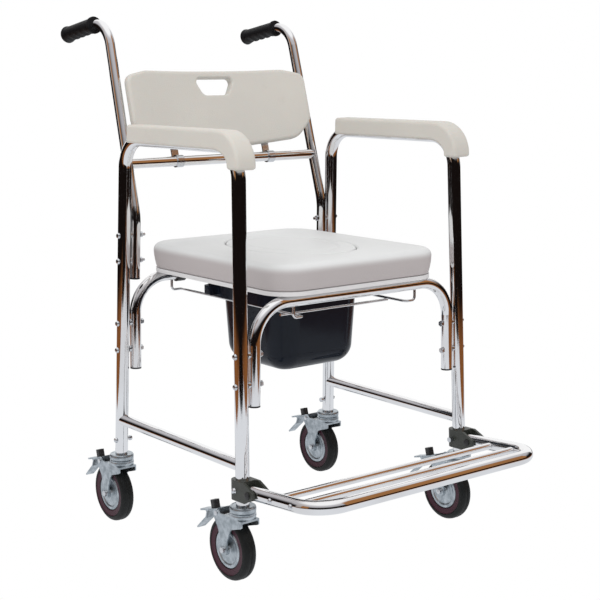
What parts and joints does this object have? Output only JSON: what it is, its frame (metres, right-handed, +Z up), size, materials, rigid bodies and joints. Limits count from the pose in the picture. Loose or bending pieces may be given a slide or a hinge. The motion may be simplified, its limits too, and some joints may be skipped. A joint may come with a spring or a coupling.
{
  "type": "wheeled commode chair",
  "caption": "Wheeled commode chair with chromed tube frame, padded lift-up seat, bucket, push handles, armrests and a fold-up footrest.",
  "frame": {"origin": "on the floor, below the middle of the chair's box", "axes": "+Z up, the sitter faces -Y, -X is the sitter's right"},
  "size_m": [0.5828, 0.8762, 1.0028],
  "materials": {
    "chrome_tube": "polished chromed tube",
    "moulded_plastic": "cream moulded plastic, fine pebble",
    "grip_rubber": "black ribbed rubber",
    "fastener_steel": "bright zinc",
    "zinc_steel": "blue-white zinc plate",
    "rod_steel": "chromed rod",
    "black_plastic": "black plastic",
    "bracket_plastic": "dark olive-black moulded nylon",
    "board_plastic": "light grey moulded board",
    "seat_vinyl": "light grey padded vinyl",
    "bucket_plastic": "glossy blue-black plastic",
    "tyre_rubber": "black tyre with a dark maroon side ring"
  },
  "bodies": {
    "frame": {"left_side_loop": "chrome_tube", "right_side_loop": "chrome_tube", "left_side_rail": "chrome_tube", "right_side_rail": "chrome_tube", "front_bow": "chrome_tube", "rear_bow": "chrome_tube", "left_push_tube": "chrome_tube", "right_push_tube": "chrome_tube", "back_cross_tube": "chrome_tube", "back_panel": "moulded_plastic", "back_panel_brackets": "fastener_steel", "back_panel_screws": "fastener_steel", "left_armrest_pad": "moulded_plastic", "right_armrest_pad": "moulded_plastic", "left_grip": "grip_rubber", "right_grip": "grip_rubber", "frame_bolts": "fastener_steel", "frame_nuts": "fastener_steel", "frame_spacers": "fastener_steel", "tube_end_plugs": "black_plastic", "caster_stems": "zinc_steel", "stem_bolts": "fastener_steel", "left_footrest_bracket": "bracket_plastic", "right_footrest_bracket": "bracket_plastic", "bucket_rails": "rod_steel", "rail_cross_bar": "rod_steel"},
    "seat": {"seat_board": "board_plastic", "seat_pad": "seat_vinyl", "seat_clips": "black_plastic"},
    "plug": {"seat_plug": "seat_vinyl"},
    "bucket": {"bucket": "bucket_plastic"},
    "footrest": {"footrest_tube": "chrome_tube", "footrest_bars": "chrome_tube", "footrest_bolts": "fastener_steel", "footrest_pivots": "black_plastic"},
    "front_left_fork": {"front_left_caster_fork": "zinc_steel", "front_left_caster_pins": "fastener_steel"},
    "front_left_wheel": {"front_left_caster_wheel": "zinc_steel", "front_left_caster_tyre": "tyre_rubber"},
    "front_left_pedal": {"front_left_brake_pedal": "zinc_steel", "front_left_brake_knob": "black_plastic"},
    "front_right_fork": {"front_right_caster_fork": "zinc_steel", "front_right_caster_pins": "fastener_steel"},
    "front_right_wheel": {"front_right_caster_wheel": "zinc_steel", "front_right_caster_tyre": "tyre_rubber"},
    "front_right_pedal": {"front_right_brake_pedal": "zinc_steel", "front_right_brake_knob": "black_plastic"},
    "rear_left_fork": {"rear_left_caster_fork": "zinc_steel", "rear_left_caster_pins": "fastener_steel"},
    "rear_left_wheel": {"rear_left_caster_wheel": "zinc_steel", "rear_left_caster_tyre": "tyre_rubber"},
    "rear_left_pedal": {"rear_left_brake_pedal": "zinc_steel", "rear_left_brake_knob": "black_plastic"},
    "rear_right_fork": {"rear_right_caster_fork": "zinc_steel", "rear_right_caster_pins": "fastener_steel"},
    "rear_right_wheel": {"rear_right_caster_wheel": "zinc_steel", "rear_right_caster_tyre": "tyre_rubber"},
    "rear_right_pedal": {"rear_right_brake_pedal": "zinc_steel", "rear_right_brake_knob": "black_plastic"}
  },
  "joints": [
    {"name": "seat_tip", "type": "hinge", "parent": "frame", "child": "seat", "pos_m": [0, 0.18601, 0.496], "axis": [-1, 0, 0], "range_deg": [0, 56]},
    {"name": "plug_lift", "type": "slide", "parent": "seat", "child": "plug", "axis": [0, 0, 1], "range_m": [0, 0.052]},
    {"name": "bucket_slide", "type": "slide", "parent": "frame", "child": "bucket", "axis": [0, 1, 0], "range_m": [-0.02, 0.055]},
    {"name": "footrest_fold", "type": "hinge", "parent": "frame", "child": "footrest", "pos_m": [0, -0.25511, 0.17614], "axis": [-1, 0, 0], "range_deg": [0, 88]},
    {"name": "front_left_swivel", "type": "hinge", "parent": "frame", "child": "front_left_fork", "pos_m": [0.2659, -0.21645, 0.13], "axis": [0, 0, 1], "continuous": true},
    {"name": "front_left_roll", "type": "hinge", "parent": "front_left_fork", "child": "front_left_wheel", "pos_m": [0.2659, -0.18345, 0.059], "axis": [1, 0, 0], "continuous": true},
    {"name": "front_left_brake", "type": "hinge", "parent": "front_left_fork", "child": "front_left_pedal", "pos_m": [0.2659, -0.16145, 0.121], "axis": [-1, 0, 0], "range_deg": [0, 7]},
    {"name": "front_right_swivel", "type": "hinge", "parent": "frame", "child": "front_right_fork", "pos_m": [-0.2659, -0.21645, 0.13], "axis": [0, 0, 1], "continuous": true},
    {"name": "front_right_roll", "type": "hinge", "parent": "front_right_fork", "child": "front_right_wheel", "pos_m": [-0.2659, -0.18345, 0.059], "axis": [1, 0, 0], "continuous": true},
    {"name": "front_right_brake", "type": "hinge", "parent": "front_right_fork", "child": "front_right_pedal", "pos_m": [-0.2659, -0.16145, 0.121], "axis": [-1, 0, 0], "range_deg": [0, 7]},
    {"name": "rear_left_swivel", "type": "hinge", "parent": "frame", "child": "rear_left_fork", "pos_m": [0.2659, 0.19599, 0.13], "axis": [0, 0, 1], "continuous": true},
    {"name": "rear_left_roll", "type": "hinge", "parent": "rear_left_fork", "child": "rear_left_wheel", "pos_m": [0.2659, 0.22899, 0.059], "axis": [1, 0, 0], "continuous": true},
    {"name": "rear_left_brake", "type": "hinge", "parent": "rear_left_fork", "child": "rear_left_pedal", "pos_m": [0.2659, 0.25099, 0.121], "axis": [-1, 0, 0], "range_deg": [0, 7]},
    {"name": "rear_right_swivel", "type": "hinge", "parent": "frame", "child": "rear_right_fork", "pos_m": [-0.2659, 0.19599, 0.13], "axis": [0, 0, 1], "continuous": true},
    {"name": "rear_right_roll", "type": "hinge", "parent": "rear_right_fork", "child": "rear_right_wheel", "pos_m": [-0.2659, 0.22899, 0.059], "axis": [1, 0, 0], "continuous": true},
    {"name": "rear_right_brake", "type": "hinge", "parent": "rear_right_fork", "child": "rear_right_pedal", "pos_m": [-0.2659, 0.25099, 0.121], "axis": [-1, 0, 0], "range_deg": [0, 7]}
  ]
}
